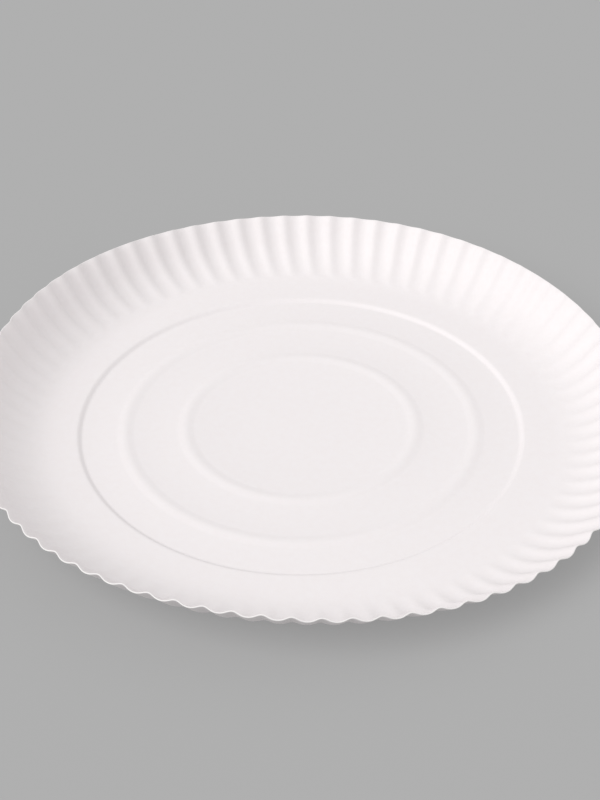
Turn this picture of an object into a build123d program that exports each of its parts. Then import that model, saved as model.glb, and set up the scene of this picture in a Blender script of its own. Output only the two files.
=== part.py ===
from build123d import *
import math
import os

# Driving dimensions, in millimetres and degrees
RIM_RADIUS = 115.0          # mean radius of the cut edge
RIM_HEIGHT = 17.1           # mean height of the cut edge's underside above the table
BOARD = 0.4                 # thickness of the paperboard
WALL_SLOPE = 48.0           # slope of the wall at the cut edge
BEND_RADIUS = 27.0          # radius of the bend from the flat shoulder up into the wall
FLUTE_COUNT = 80            # flutes round the rim
FLUTE_DEPTH = 1.2           # valley to crest at the cut edge, square to the wall
SHOULDER_WIDTH = 9.6        # flat ring between the bend and the step
STEP_WIDTH = 2.0            # width of the small step round the base
STEP_HEIGHT = 1.1           # rise of that step
BEAD_INSETS = (36.3, 15.0)  # centre lines of the two embossed rings, in from the edge of the base
BEAD_WIDTH = 7.0            # width of an embossed ring
BEAD_CROWN = 2.2            # width of its flat top
BEAD_HEIGHT = 0.6           # rise of an embossed ring

# How finely the flutes are drawn
FLUTE_FACETS = 6            # flat facets across a flute
WALL_BANDS = 3              # flat bands that follow the bend and the wall

# Values worked out from them
pitch = 360 / FLUTE_COUNT
slope = math.radians(WALL_SLOPE)
bend_rise = BEND_RADIUS * (1 - math.cos(slope))
wall_length = (RIM_HEIGHT - STEP_HEIGHT - bend_rise) / math.sin(slope)
bend_start = RIM_RADIUS - BEND_RADIUS * math.sin(slope) - wall_length * math.cos(slope)
shoulder_radius = bend_start - SHOULDER_WIDTH
base_radius = shoulder_radius - STEP_WIDTH


def crossing(line, other):
    """Point where two lines of the section cross, each given by its height at the axis and its slope."""
    radius = (line[0] - other[0]) / (other[1] - line[1])
    return Vector(radius, line[0] + line[1] * radius)


def wall_corners(wave, board):
    """Corners of the wall in one upright section, from its root to the cut edge.

    The shoulder, each band and the cut edge are straight lines. Every band of one height passes
    through the same point of the axis, whatever the wave, so the facets between sections are flat.
    wave runs from -1 in a valley to 1 on a crest, and board is the height above the underside.
    """
    lines = [(STEP_HEIGHT + board, 0)]
    for band in range(1, WALL_BANDS + 1):
        share = band / WALL_BANDS
        angle = slope * share
        touch_radius = bend_start + BEND_RADIUS * math.sin(angle)
        touch_height = STEP_HEIGHT + BEND_RADIUS * (1 - math.cos(angle))
        lift = board if band == 1 else board / math.cos(angle)
        swing = wave * share * FLUTE_DEPTH / 2 * math.cos(angle) / touch_radius
        lines.append((touch_height - touch_radius * math.tan(angle) + lift, math.tan(angle + swing)))
    lines.append((RIM_HEIGHT + RIM_RADIUS / math.tan(slope), -1 / math.tan(slope)))
    return [crossing(line, other) for line, other in zip(lines, lines[1:])]


# Upright sections of one flute, one at each fold between two facets, and its corners on the shoulder
flute_sections = []
flute_roots = []
for fold in range(FLUTE_FACETS):
    turn = fold / FLUTE_FACETS
    wave = math.cos(2 * math.pi * turn)
    under = wall_corners(wave, 0)
    over = wall_corners(wave, BOARD)
    with BuildSketch(Plane.XZ.rotated((0, 0, pitch * turn))) as flute_section:
        with BuildLine():
            Polyline(*under, *reversed(over), close=True)
        make_face()
    flute_sections.append(flute_section.sketch)
    flute_roots.append(Vector(under[0].X, 0).rotate(Axis.Z, pitch * turn))

# The same all the way round
flute_turns = [pitch * flute for flute in range(FLUTE_COUNT)]
wall_sections = [section.rotate(Axis.Z, turn) for turn in flute_turns for section in flute_sections]
root_corners = [root.rotate(Axis.Z, turn) for turn in flute_turns for root in flute_roots]

with BuildPart() as plate:
    # Flat base with its embossed rings and step
    with BuildSketch(Plane.XZ):
        with BuildLine():
            for board in (0, BOARD):
                flat_start = Vector(0, board)
                for inset in BEAD_INSETS:
                    foot = Vector(base_radius - inset - BEAD_WIDTH / 2, board)
                    crown = Vector(base_radius - inset - BEAD_CROWN / 2, board + BEAD_HEIGHT)
                    far_crown = crown + Vector(BEAD_CROWN, 0)
                    far_foot = foot + Vector(BEAD_WIDTH, 0)
                    Polyline(flat_start, foot, crown, far_crown, far_foot)
                    flat_start = far_foot
                step_foot = Vector(base_radius, board)
                Polyline(flat_start, step_foot, step_foot + Vector(STEP_WIDTH, STEP_HEIGHT))
            Line((0, 0), (0, BOARD))
            Line((shoulder_radius, STEP_HEIGHT), (shoulder_radius, STEP_HEIGHT + BOARD))
        make_face()
    revolve(axis=Axis.Z)
    # Flat shoulder out to the root of the flutes
    with BuildSketch(Plane.XY.offset(STEP_HEIGHT)):
        Polygon(*root_corners, align=None)
        Circle(shoulder_radius, mode=Mode.SUBTRACT)
    extrude(amount=BOARD)
    # Fluted wall
    loft(wall_sections + wall_sections[:1], ruled=True, clean=False)

plate.part.label = "plate"

os.makedirs("parts", exist_ok=True)
export_step(plate.part, "parts/plate.step")
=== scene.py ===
"""White paperboard plate with a fluted rim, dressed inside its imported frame."""

import logging
import math
from dataclasses import dataclass
from enum import Enum, IntEnum

import bpy
import numpy as np
from mathutils import Matrix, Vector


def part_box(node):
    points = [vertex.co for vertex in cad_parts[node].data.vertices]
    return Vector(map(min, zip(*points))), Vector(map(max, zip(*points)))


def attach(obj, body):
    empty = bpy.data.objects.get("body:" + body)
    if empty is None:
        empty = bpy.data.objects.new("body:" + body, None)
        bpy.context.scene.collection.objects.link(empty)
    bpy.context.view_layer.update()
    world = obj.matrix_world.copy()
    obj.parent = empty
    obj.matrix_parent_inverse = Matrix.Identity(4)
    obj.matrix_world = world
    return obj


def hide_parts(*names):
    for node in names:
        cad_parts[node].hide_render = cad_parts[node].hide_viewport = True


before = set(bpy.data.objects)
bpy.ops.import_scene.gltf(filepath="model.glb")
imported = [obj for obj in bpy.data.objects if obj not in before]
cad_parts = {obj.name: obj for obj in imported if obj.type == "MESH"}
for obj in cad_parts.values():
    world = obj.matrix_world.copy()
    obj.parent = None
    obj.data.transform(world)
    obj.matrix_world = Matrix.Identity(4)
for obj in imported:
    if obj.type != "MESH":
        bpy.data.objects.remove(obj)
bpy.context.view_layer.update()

MM = 0.001
WHITE = (1.0, 1.0, 1.0, 1.0)
log = logging.getLogger("plate")


class MixSocket(IntEnum):
    """Sockets of a node that mixes colours, by their places in its lists."""

    SHARE = 0
    FIRST = 6
    SECOND = 7
    COLOUR = 2


class Face(Enum):
    """The two faces of the board, by the side of its middle surface that they lie on."""

    UPPER = 1.0
    UNDER = -1.0


def linear(colour: str) -> tuple[float, float, float, float]:
    """Turns an sRGB hex colour into linear light.

    Args:
        colour: colour written as "#RRGGBB".

    Returns:
        Linear red, green and blue, and an alpha of 1.
    """
    shares = [int(colour[at:at + 2], 16) / 255 for at in (1, 3, 5)]
    red, green, blue = [s / 12.92 if s <= 0.04045 else ((s + 0.055) / 1.055) ** 2.4 for s in shares]
    return red, green, blue, 1.0


def add_node(
    tree: bpy.types.NodeTree, kind: str, settings: dict[str, object], sockets: dict[str | int, object],
) -> bpy.types.Node:
    """Adds one node with its settings, and sets or links its inputs.

    Args:
        tree: node tree that takes the node.
        kind: Blender's name for the kind of node.
        settings: values of the node's own properties, by name.
        sockets: for each input, by name or number, its value or the output that feeds it.

    Returns:
        The new node.
    """
    node = tree.nodes.new(kind)
    for name, value in settings.items():
        setattr(node, name, value)
    for key, value in sockets.items():
        if isinstance(value, bpy.types.NodeSocket):
            tree.links.new(value, node.inputs[key])
        else:
            node.inputs[key].default_value = value
    return node


def new_material(name: str) -> tuple[bpy.types.Material, bpy.types.NodeTree]:
    """Starts a material with an empty node tree.

    Args:
        name: name of the real material.

    Returns:
        The material and its node tree.
    """
    material = bpy.data.materials.new(name)
    material.use_nodes = True
    material.node_tree.nodes.clear()
    return material, material.node_tree


def slow_waves(waves: tuple[tuple[float, float], ...], angle: np.ndarray) -> np.ndarray:
    """Sums a cosine and a sine for one, two and more waves round the plate.

    Args:
        waves: the cosine's and the sine's share for each number of waves.
        angle: angles round the plate.

    Returns:
        The sum at each angle.
    """
    each = [c * np.cos(n * angle) + s * np.sin(n * angle) for n, (c, s) in enumerate(waves, 1)]
    return np.sum(each, axis=0)


def mesh_object(name: str, points: np.ndarray, faces: list[list[int]]) -> bpy.types.Object:
    """Puts a computed surface into a smooth mesh object at the origin.

    Args:
        name: name of the piece.
        points: one row of x, y, z in metres for each vertex.
        faces: the corner numbers of each face.

    Returns:
        The new object, linked to the scene.
    """
    mesh = bpy.data.meshes.new(name)
    mesh.from_pydata(points.tolist(), [], faces)
    mesh.polygons.foreach_set("use_smooth", np.ones(len(mesh.polygons), dtype=bool))
    mesh.update()
    piece = bpy.data.objects.new(name, mesh)
    bpy.context.scene.collection.objects.link(piece)
    return piece


@dataclass(frozen=True)
class CoatedPaperboard:
    """Clay-coated white paperboard, pressed hot between a die and a punch.

    The coat fills the tooth of the fibres and the hot die irons it, which gives a close, even
    white with a satin sheen. The pulp lies in flocks that show as a very faint mottle, and the
    blanked edge is uncoated, so it is duller and a little rougher than the faces. The cut edge is
    also painted a little lighter than the coat, a painted highlight where it catches the light.

    Attributes:
        name: name of the material.
        coat: colour of the coat.
        flock: colour of the coat where the pulp lies thin.
        bare_edge_highlight: colour at the cut edge, the uncoated board painted a little lighter than
            the coat as a painted highlight.
        flock_mm: width of the flocks.
        flock_detail: how many finer sizes of flock lie on the first.
        flock_rough: share by which each finer size adds to the one before.
        tooth_mm: width of the tooth, drawn coarser than the real 0.1 mm, which would not show.
        tooth_detail: how many finer sizes of tooth lie on the first.
        tooth_height_mm: height of that tooth.
        tooth_strength: share of that height which the coat leaves open.
        satin: roughness of the ironed coat and of the coat over thin pulp.
        coat_ior: index of refraction of the coat.
        coat_sheen: level of its mirror reflection.
        edge_mark: attribute of the mesh that is 1 along the cut edge.
    """

    name: str = "coated_paperboard"
    coat: str = "#F1EDEE"
    flock: str = "#EEE8E8"
    # Lighter than the coat: a painted highlight on the cut edge.
    bare_edge_highlight: str = "#F4F1F0"
    flock_mm: float = 2.4
    flock_detail: float = 3.0
    flock_rough: float = 0.6
    tooth_mm: float = 0.7
    tooth_detail: float = 2.0
    tooth_height_mm: float = 0.006
    tooth_strength: float = 0.6
    satin: tuple[float, float] = (0.46, 0.56)
    coat_ior: float = 1.45
    coat_sheen: float = 0.35
    edge_mark: str = "cut_edge"

    def material(self) -> bpy.types.Material:
        """Builds the node material.

        Returns:
            The material, which reads Object coordinates and the mark of the cut edge.
        """
        material, tree = new_material(self.name)
        place = add_node(tree, "ShaderNodeTexCoord", {}, {}).outputs["Object"]
        flocks = add_node(tree, "ShaderNodeTexNoise", {}, {
            "Vector": place, "Scale": 1 / (self.flock_mm * MM),
            "Detail": self.flock_detail, "Roughness": self.flock_rough,
        }).outputs["Fac"]
        tooth = add_node(tree, "ShaderNodeTexNoise", {}, {
            "Vector": place, "Scale": 1 / (self.tooth_mm * MM), "Detail": self.tooth_detail,
        }).outputs["Fac"]
        face = add_node(tree, "ShaderNodeMix", {"data_type": "RGBA"}, {
            MixSocket.SHARE: flocks,
            MixSocket.FIRST: linear(self.coat),
            MixSocket.SECOND: linear(self.flock),
        }).outputs[MixSocket.COLOUR]
        mark = add_node(tree, "ShaderNodeAttribute", {"attribute_name": self.edge_mark}, {})
        edge = mark.outputs["Fac"]
        # Painted highlight: the cut edge is mixed to a lighter colour than the coat, as if it caught
        # the light.
        colour = add_node(tree, "ShaderNodeMix", {"data_type": "RGBA"}, {
            MixSocket.SHARE: edge,
            MixSocket.FIRST: face,
            MixSocket.SECOND: linear(self.bare_edge_highlight),
        }).outputs[MixSocket.COLOUR]
        satin = add_node(tree, "ShaderNodeMapRange", {}, {
            "Value": flocks, "To Min": self.satin[0], "To Max": self.satin[1],
        }).outputs["Result"]
        relief = add_node(tree, "ShaderNodeBump", {}, {
            "Height": tooth, "Distance": self.tooth_height_mm * MM, "Strength": self.tooth_strength,
        }).outputs["Normal"]
        shader = add_node(tree, "ShaderNodeBsdfPrincipled", {}, {
            "Base Color": colour, "Roughness": satin, "Normal": relief,
            "IOR": self.coat_ior, "Specular IOR Level": self.coat_sheen,
        })
        add_node(tree, "ShaderNodeOutputMaterial", {}, {"Surface": shader.outputs["BSDF"]})
        return material


@dataclass(frozen=True)
class LitFloor:
    """Frosted top of a light table, matte and evenly lit from below, which thins the shadows on it.

    Attributes:
        name: name of the material.
        tone: colour of the frosted face.
        glow: light that comes up through it.
    """

    name: str = "frosted_floor"
    tone: str = "#7C7C7C"
    glow: float = 0.228

    def material(self) -> bpy.types.Material:
        """Builds the node material.

        Returns:
            An even, fully diffuse material with a faint glow.
        """
        material, tree = new_material(self.name)
        shader = add_node(tree, "ShaderNodeBsdfPrincipled", {}, {
            "Base Color": linear(self.tone), "Roughness": 1.0, "Specular IOR Level": 0.0,
            "Emission Color": WHITE, "Emission Strength": self.glow,
        })
        add_node(tree, "ShaderNodeOutputMaterial", {}, {"Surface": shader.outputs["BSDF"]})
        return material


@dataclass
class FlutedPlate:
    """The plate, one pressed sheet of board with flutes round its rim. Sizes are in millimetres.

    Attributes:
        rim_radius: mean radius of the cut edge, at the middle of the board.
        rim_height: mean height of the cut edge, at the middle of the board.
        board: thickness of the board.
        slope: slope of the wall at the cut edge, in degrees.
        bend_radius: radius of the bend from the shoulder into the wall.
        flutes: number of flutes.
        flute_depth: valley to crest at the cut edge, square to the wall.
        crest_share: second harmonic of the flute's wave, which makes its crests the narrower.
        flute_start: distance from the start of the bend to the feet of the flutes.
        flute_rise: power by which the flutes deepen from their feet to the cut edge, on the far
            side and on the near side, where their feet are fainter.
        creep: how far the flutes have crept round the rim, as the cosine and sine of one and two
            waves round it, in degrees.
        lean: how far the feet of the flutes lag behind their ends at the cut edge on the far side,
            in degrees, which fades to nothing on the near side.
        shoulder_width: flat ring between the bend and the step.
        step_width: width of the step round the base.
        step_height: rise of that step.
        bead_insets: centre lines of the two embossed rings, in from the edge of the base.
        bead_width: width of an embossed ring.
        bead_height: rise of an embossed ring.
        edge_round: rounding of the two corners of the cut edge.
        bow: how the wall has sagged open or closed round the plate since it was pressed, as the
            cosine and sine of one to four waves round it, in degrees of slope.
        bow_length: stretch from the start of the bend over which the board gives for that.
        curl: how far the cut edge has curled up at one place, in degrees of slope.
        curl_at: angle of that place round the plate, in degrees.
        curl_spread: angle from there at which the curl has faded to about a third, in degrees.
        steps: points round the plate.
        bead_rows: rows of points over an embossed ring.
        step_rows: rows of points over the step and a little to each side of it.
        middle_rows: rows inside the inner ring, as shares of the radius where that ring begins.
        shoulder_rows: rows of points on the flat shoulder.
        plain_rows: rows of points on the bend below the feet of the flutes.
        fluted_rows: rows of points from the feet of the flutes to the cut edge.
        foot_crowding: power by which those rows crowd towards the feet.
        corner_rows: rows on the rounding of the cut edge, as shares of it in from the edge.
    """

    rim_radius: float
    rim_height: float
    board: float = 0.4
    slope: float = 48.0
    bend_radius: float = 27.0
    flutes: int = 80
    flute_depth: float = 1.2
    crest_share: float = 0.12
    flute_start: float = 5.4
    flute_rise: tuple[float, float] = (0.4, 0.8)
    creep: tuple[tuple[float, float], ...] = ((-1.3, 0.0), (0.0, -0.5))
    lean: float = 1.6
    shoulder_width: float = 9.6
    step_width: float = 2.0
    step_height: float = 1.1
    bead_insets: tuple[float, float] = (36.3, 15.0)
    bead_width: float = 7.0
    bead_height: float = 0.6
    edge_round: float = 0.1
    bow: tuple[tuple[float, float], ...] = ((-7.0, 3.2), (0.8, 1.1), (-0.1, 3.0), (0.7, -1.3))
    bow_length: float = 8.0
    curl: float = 7.0
    curl_at: float = -66.6
    curl_spread: float = 32.0
    steps: int = 960
    bead_rows: int = 7
    step_rows: int = 8
    middle_rows: tuple[float, ...] = (0.2, 0.4)
    shoulder_rows: int = 2
    plain_rows: int = 3
    fluted_rows: int = 19
    foot_crowding: float = 1.4
    corner_rows: tuple[float, ...] = (0.3, 0.0)

    @classmethod
    def in_frame(cls, low: list[float], high: list[float]) -> "FlutedPlate":
        """Sizes the plate to the box of its node.

        The box reaches the valleys' outer edge sideways and the crests' upper edge upwards, so
        half a flute and half the board come off each to reach the mean of the cut edge.

        Args:
            low: lowest corner of the node's box, in metres.
            high: highest corner of that box.

        Returns:
            A plate whose cut edge lies in the box.
        """
        slope = math.radians(cls.slope)
        reach = (high[0] - low[0]) / 2 / MM / math.cos(math.pi / cls.flutes)
        outward = (cls.flute_depth + cls.board) / 2 * math.sin(slope)
        upward = (cls.flute_depth + cls.board) / 2 * math.cos(slope)
        return cls(reach - outward, high[2] / MM - upward)

    def bend_length(self) -> float:
        """Length of the bend along the middle of the board."""
        return (self.bend_radius - self.board / 2) * math.radians(self.slope)

    def wall_length(self) -> float:
        """Length of the straight wall, from the end of the bend to the cut edge."""
        slope = math.radians(self.slope)
        bend_rise = (self.bend_radius - self.board / 2) * (1 - math.cos(slope))
        rise = self.rim_height - self.board / 2 - self.step_height - bend_rise
        return rise / math.sin(slope)

    def bend_start(self) -> float:
        """Radius at which the flat shoulder ends and the bend begins."""
        slope = math.radians(self.slope)
        bend_run = (self.bend_radius - self.board / 2) * math.sin(slope)
        return self.rim_radius - bend_run - self.wall_length() * math.cos(slope)

    def base_radius(self) -> float:
        """Radius of the edge of the base, at the foot of the step."""
        return self.bend_start() - self.shoulder_width - self.step_width

    def flat_rows(self) -> np.ndarray:
        """Radii of the rows of points on the base, the step and the shoulder.

        Returns:
            Rising radii, close together over each embossed ring and the step.
        """
        base = self.base_radius()
        over_bead = self.bead_width / 2 * np.linspace(-1, 1, self.bead_rows)
        over_step = base + self.step_width * np.linspace(-0.25, 1.25, self.step_rows)
        inner, outer = [base - inset + over_bead for inset in self.bead_insets]
        middle = np.array(self.middle_rows) * inner[0]
        between = np.array([(inner[-1] + outer[0]) / 2])
        shoulder = np.linspace(over_step[-1], self.bend_start(), self.shoulder_rows + 2)[1:-1]
        return np.concatenate([middle, inner, between, outer, over_step, shoulder])

    def wall_rows(self) -> np.ndarray:
        """Distances of the rows of points along the bend and the wall.

        Returns:
            Rising distances from the start of the bend to the cut edge, closer together at the
            feet of the flutes, the last few of them on the rounding of the edge.
        """
        whole = self.bend_length() + self.wall_length()
        plain = np.linspace(0, self.flute_start, self.plain_rows + 1)[:-1]
        fluted_length = whole - self.edge_round - self.flute_start
        crowded = np.linspace(0, 1, self.fluted_rows) ** self.foot_crowding
        fluted = self.flute_start + fluted_length * crowded
        corner = whole - self.edge_round * np.array(self.corner_rows)
        return np.concatenate([plain, fluted, corner])

    def wave(self, angle: np.ndarray, upward: np.ndarray) -> np.ndarray:
        """Wave of the flutes on the wall, from -1 in the valleys to 1 on the crests.

        A cosine of the flutes' number with a share of its second harmonic, less that share. Its
        angle is the angle round the plate less the creep, plus a lean that grows with the sine
        of that angle and with the square of the way left to the cut edge.

        Args:
            angle: angles round the plate.
            upward: way from the feet of the flutes to the cut edge, from 0 to 1, one row each.

        Returns:
            The wave at each row and angle.
        """
        lag = self.lean * (1 + np.sin(angle)) / 2 * (1 - upward) ** 2
        turn = self.flutes * (angle - np.radians(slow_waves(self.creep, angle) - lag))
        return np.cos(turn) + self.crest_share * (np.cos(2 * turn) - 1)

    def flat_section(self, angle: np.ndarray) -> np.ndarray:
        """Middle of the board over the base, the step and the shoulder.

        Height is half the board, plus a raised cosine over each embossed ring, plus a smooth
        step from 0 to the step's height across the step's width. It is turned round the axis.

        Args:
            angle: angles round the plate.

        Returns:
            Points as an array of rows, angles and x, y, z.
        """
        radius = self.flat_rows()[:, None]
        height = np.full_like(radius, self.board / 2)
        for inset in self.bead_insets:
            across = np.clip((radius - self.base_radius() + inset) / (self.bead_width / 2), -1, 1)
            height += self.bead_height * (1 + np.cos(np.pi * across)) / 2
        across = np.clip((radius - self.base_radius()) / self.step_width, 0, 1)
        height += self.step_height * across ** 2 * (3 - 2 * across)
        ring = np.ones_like(angle)[None, :]
        return np.stack([radius * np.cos(angle), radius * np.sin(angle), height * ring], axis=-1)

    def wall_section(self, angle: np.ndarray) -> np.ndarray:
        """Middle of the board over the bend and the fluted wall.

        The board leaves the shoulder level and turns evenly up to the wall's slope along the
        bend, then runs straight to the cut edge, and its sag adds to that slope. Its run and rise
        are the sums of each stretch times the cosine and sine of the mean slope there. The wave
        moves it square to itself, by a share of the flutes' depth that is a power of the way
        from the feet of the flutes to the cut edge. The curl is a bell curve of the angle, times
        the square of that way.

        Args:
            angle: angles round the plate.

        Returns:
            Points as an array of rows, angles and x, y, z.
        """
        along = self.wall_rows()[:, None]
        share = np.clip(along / self.bend_length(), 0, 1)
        give = np.clip(along / self.bow_length, 0, 1)
        upward = np.clip((along - self.flute_start) / (along[-1] - self.flute_start), 0, 1)
        off = (np.degrees(angle) - self.curl_at + 180) % 360 - 180
        curled = self.curl * np.exp(-(off / self.curl_spread) ** 2) * upward ** 2
        tilt = np.radians(self.slope * share + slow_waves(self.bow, angle) * give + curled)
        stretch = np.diff(along, axis=0)
        mean = (tilt[1:] + tilt[:-1]) / 2
        start = np.zeros_like(tilt[:1])
        run = np.cumsum(np.concatenate([start, stretch * np.cos(mean)]), axis=0)
        rise = np.cumsum(np.concatenate([start, stretch * np.sin(mean)]), axis=0)
        far, near = self.flute_rise
        power = far + (near - far) * (1 - np.sin(angle)) / 2
        shift = self.flute_depth / 2 * upward ** power * self.wave(angle, upward)
        radius = self.bend_start() + run - shift * np.sin(tilt)
        height = self.board / 2 + self.step_height + rise + shift * np.cos(tilt)
        return np.stack([radius * np.cos(angle), radius * np.sin(angle), height], axis=-1)

    def half_board(self) -> np.ndarray:
        """Half the thickness of the board at each row, rounded off towards the cut edge.

        Over the last stretch it follows a quarter circle of the edge's rounding.

        Returns:
            Half thicknesses of the rows from the innermost to the cut edge.
        """
        whole = self.bend_length() + self.wall_length()
        left = np.clip(whole - self.wall_rows(), 0, self.edge_round)
        rounded = np.sqrt(self.edge_round ** 2 - (self.edge_round - left) ** 2)
        wall = self.board / 2 - self.edge_round + rounded
        return np.concatenate([np.full(len(self.flat_rows()), self.board / 2), wall])

    def build(self) -> bpy.types.Object:
        """Builds the closed sheet.

        The middle surface is a function of the row along the section and the angle round the
        axis. Each face is that surface moved half the board along its own normal, which is the
        cross product of its two slopes. The rows run out over the upper face and back along the
        underside, and a fan of triangles closes each end at the axis.

        Returns:
            The plate, with the cut edge marked.
        """
        angle = np.arange(self.steps) * 2 * np.pi / self.steps
        middle = np.concatenate([self.flat_section(angle), self.wall_section(angle)])
        around = np.roll(middle, -1, axis=1) - np.roll(middle, 1, axis=1)
        outward = np.gradient(middle, axis=0)
        normal = np.cross(outward, around)
        normal /= np.linalg.norm(normal, axis=-1, keepdims=True)
        half = self.half_board()[:, None, None]
        upper = middle + Face.UPPER.value * half * normal
        under = middle + Face.UNDER.value * half * normal
        rows = np.concatenate([upper, under[::-1]])
        poles = np.array([[0.0, 0.0, self.board], [0.0, 0.0, 0.0]])
        points = np.concatenate([rows.reshape(-1, 3), poles])
        piece = mesh_object("fluted_plate", points * MM, self.sheet_faces(len(rows)))
        self.mark_edge(piece, len(rows))
        return piece

    def sheet_faces(self, count: int) -> list[list[int]]:
        """Joins the rows of points into one closed skin that faces outward.

        Args:
            count: number of rows of points over both faces.

        Returns:
            The corner numbers of each face, first the quads and then the fans at the axis.
        """
        number = np.arange(count * self.steps).reshape(count, self.steps)
        beside = np.roll(number, -1, axis=1)
        quads = np.stack([number[:-1], number[1:], beside[1:], beside[:-1]], axis=-1)
        top_pole = np.full(self.steps, number.size)
        low_pole = top_pole + 1
        top_fan = np.stack([top_pole, number[0], beside[0]], axis=-1)
        low_fan = np.stack([low_pole, beside[-1], number[-1]], axis=-1)
        return quads.reshape(-1, 4).tolist() + top_fan.tolist() + low_fan.tolist()

    def mark_edge(self, piece: bpy.types.Object, count: int) -> None:
        """Marks the rows of the cut edge with 1 and the rest of the sheet with 0.

        Args:
            piece: the plate.
            count: number of rows of points over both faces.
        """
        mark = np.zeros((count, self.steps), dtype=np.float32)
        edge, corner = count // 2, len(self.corner_rows)
        mark[edge - corner:edge + corner] = 1
        values = np.concatenate([mark.ravel(), np.zeros(2, dtype=np.float32)])
        layer = piece.data.attributes.new(CoatedPaperboard.edge_mark, "FLOAT", "POINT")
        layer.data.foreach_set("value", values)

    def dress(self, piece: bpy.types.Object, finish: CoatedPaperboard) -> None:
        """Gives the plate its finish and puts it in the place of the node.

        Args:
            piece: the plate.
            finish: the board it is pressed from.
        """
        piece.data.materials.append(finish.material())
        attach(piece, "root")
        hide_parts("plate")


@dataclass
class StudioFloor:
    """Wide level floor under the plate.

    Attributes:
        width: length of its sides, in metres.
        drop: how far it lies under the plate's base, in metres, so that the two do not coincide.
        lines: lines of points along each side.
    """

    width: float = 16.0
    drop: float = 0.0001
    lines: int = 9

    def build(self) -> bpy.types.Object:
        """Builds the floor, a flat grid of x and y at one height.

        Returns:
            The floor, which is left out of the plate's body.
        """
        across = np.linspace(-self.width / 2, self.width / 2, self.lines)
        x, y = np.meshgrid(across, across)
        points = np.stack([x, y, np.full_like(x, -self.drop)], axis=-1).reshape(-1, 3)
        number = np.arange(len(points)).reshape(x.shape)
        corners = [number[:-1, :-1], number[:-1, 1:], number[1:, 1:], number[1:, :-1]]
        quads = np.stack(corners, axis=-1).reshape(-1, 4)
        piece = mesh_object("studio_floor", points, quads.tolist())
        piece.data.materials.append(LitFloor().material())
        return piece


@dataclass(frozen=True)
class SoftLamp:
    """A broad lamp with a diffuser, far enough away to light the whole floor evenly.

    Attributes:
        name: name of the lamp.
        strength: its strength.
        azimuth: direction it stands in, in degrees from +X towards +Y.
        height: its height above the floor, in degrees.
        width: its width as seen from the plate, in degrees.
    """

    name: str
    strength: float
    azimuth: float
    height: float
    width: float = 50.0

    def build(self) -> bpy.types.Object:
        """Adds the lamp to the scene.

        Returns:
            The lamp.
        """
        data = bpy.data.lights.new(self.name, "SUN")
        data.energy = self.strength
        data.angle = math.radians(self.width)
        lamp = bpy.data.objects.new(self.name, data)
        lamp.rotation_euler = (0.0, math.radians(90 - self.height), math.radians(self.azimuth))
        bpy.context.scene.collection.objects.link(lamp)
        return lamp


@dataclass
class StudioLight:
    """Even light from all round, a soft key over the near left side and a weak fill opposite it.

    Attributes:
        even: brightness of the light from all round.
        key: the lamp that gives the plate its shape.
        fill: the lamp that softens the shaded side.
    """

    even: float = 0.66
    key: SoftLamp = SoftLamp("soft_key", 1.48, -148.0, 45.0)
    fill: SoftLamp = SoftLamp("soft_fill", 0.16, 45.0, 30.0)

    def build(self) -> None:
        """Sets the even light and adds the two lamps."""
        world = bpy.data.worlds.new("studio")
        world.use_nodes = True
        world.node_tree.nodes.clear()
        around = add_node(world.node_tree, "ShaderNodeBackground", {}, {
            "Color": WHITE, "Strength": self.even,
        })
        glow = around.outputs["Background"]
        add_node(world.node_tree, "ShaderNodeOutputWorld", {}, {"Surface": glow})
        bpy.context.scene.world = world
        self.key.build()
        self.fill.build()


@dataclass
class StudioCamera:
    """Camera over the near side of the plate.

    Attributes:
        height: viewing angle above the floor, in degrees.
        turn: how far it stands round the plate from -Y, in degrees.
        roll: how far it is turned about its own line of sight, in degrees.
        distance: from the camera to the middle of the plate along the line of sight, in mm.
        aside: how far the middle of the plate lies to the right of that line and over it, in mm.
        lens: focal length, in mm.
        sensor: length of the sensor along the longer side of the picture, in mm.
    """

    height: float = 37.27
    turn: float = 1.4
    roll: float = -0.21
    distance: float = 595.4
    aside: tuple[float, float] = (0.22, -9.09)
    lens: float = 75.58
    sensor: float = 36.0

    def build(self) -> bpy.types.Object:
        """Places the camera and makes it the scene's own.

        Returns:
            The camera.
        """
        data = bpy.data.cameras.new("studio_camera")
        data.lens = self.lens
        data.sensor_width = self.sensor
        data.sensor_fit = "AUTO"
        camera = bpy.data.objects.new("studio_camera", data)
        stand = Matrix.Rotation(math.radians(self.turn), 4, "Z")
        tilt = Matrix.Rotation(math.radians(90 - self.height), 4, "X")
        roll = Matrix.Rotation(math.radians(self.roll), 4, "Z")
        back = Matrix.Translation((-self.aside[0] * MM, -self.aside[1] * MM, self.distance * MM))
        camera.matrix_world = stand @ tilt @ roll @ back
        bpy.context.scene.collection.objects.link(camera)
        bpy.context.scene.camera = camera
        return camera


def main() -> None:
    """Builds the plate and the studio round it."""
    logging.basicConfig(level=logging.INFO, format="%(name)s: %(message)s")
    plate = FlutedPlate.in_frame(*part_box("plate"))
    piece = plate.build()
    plate.dress(piece, CoatedPaperboard())
    log.info("%s: %d faces", piece.name, len(piece.data.polygons))
    floor = StudioFloor().build()
    log.info("%s: %d faces", floor.name, len(floor.data.polygons))
    StudioLight().build()
    camera = StudioCamera().build()
    log.info("%s: lens %.1f mm", camera.name, camera.data.lens)
    bpy.context.scene.view_settings.view_transform = "Standard"


if __name__ == "__main__":
    main()
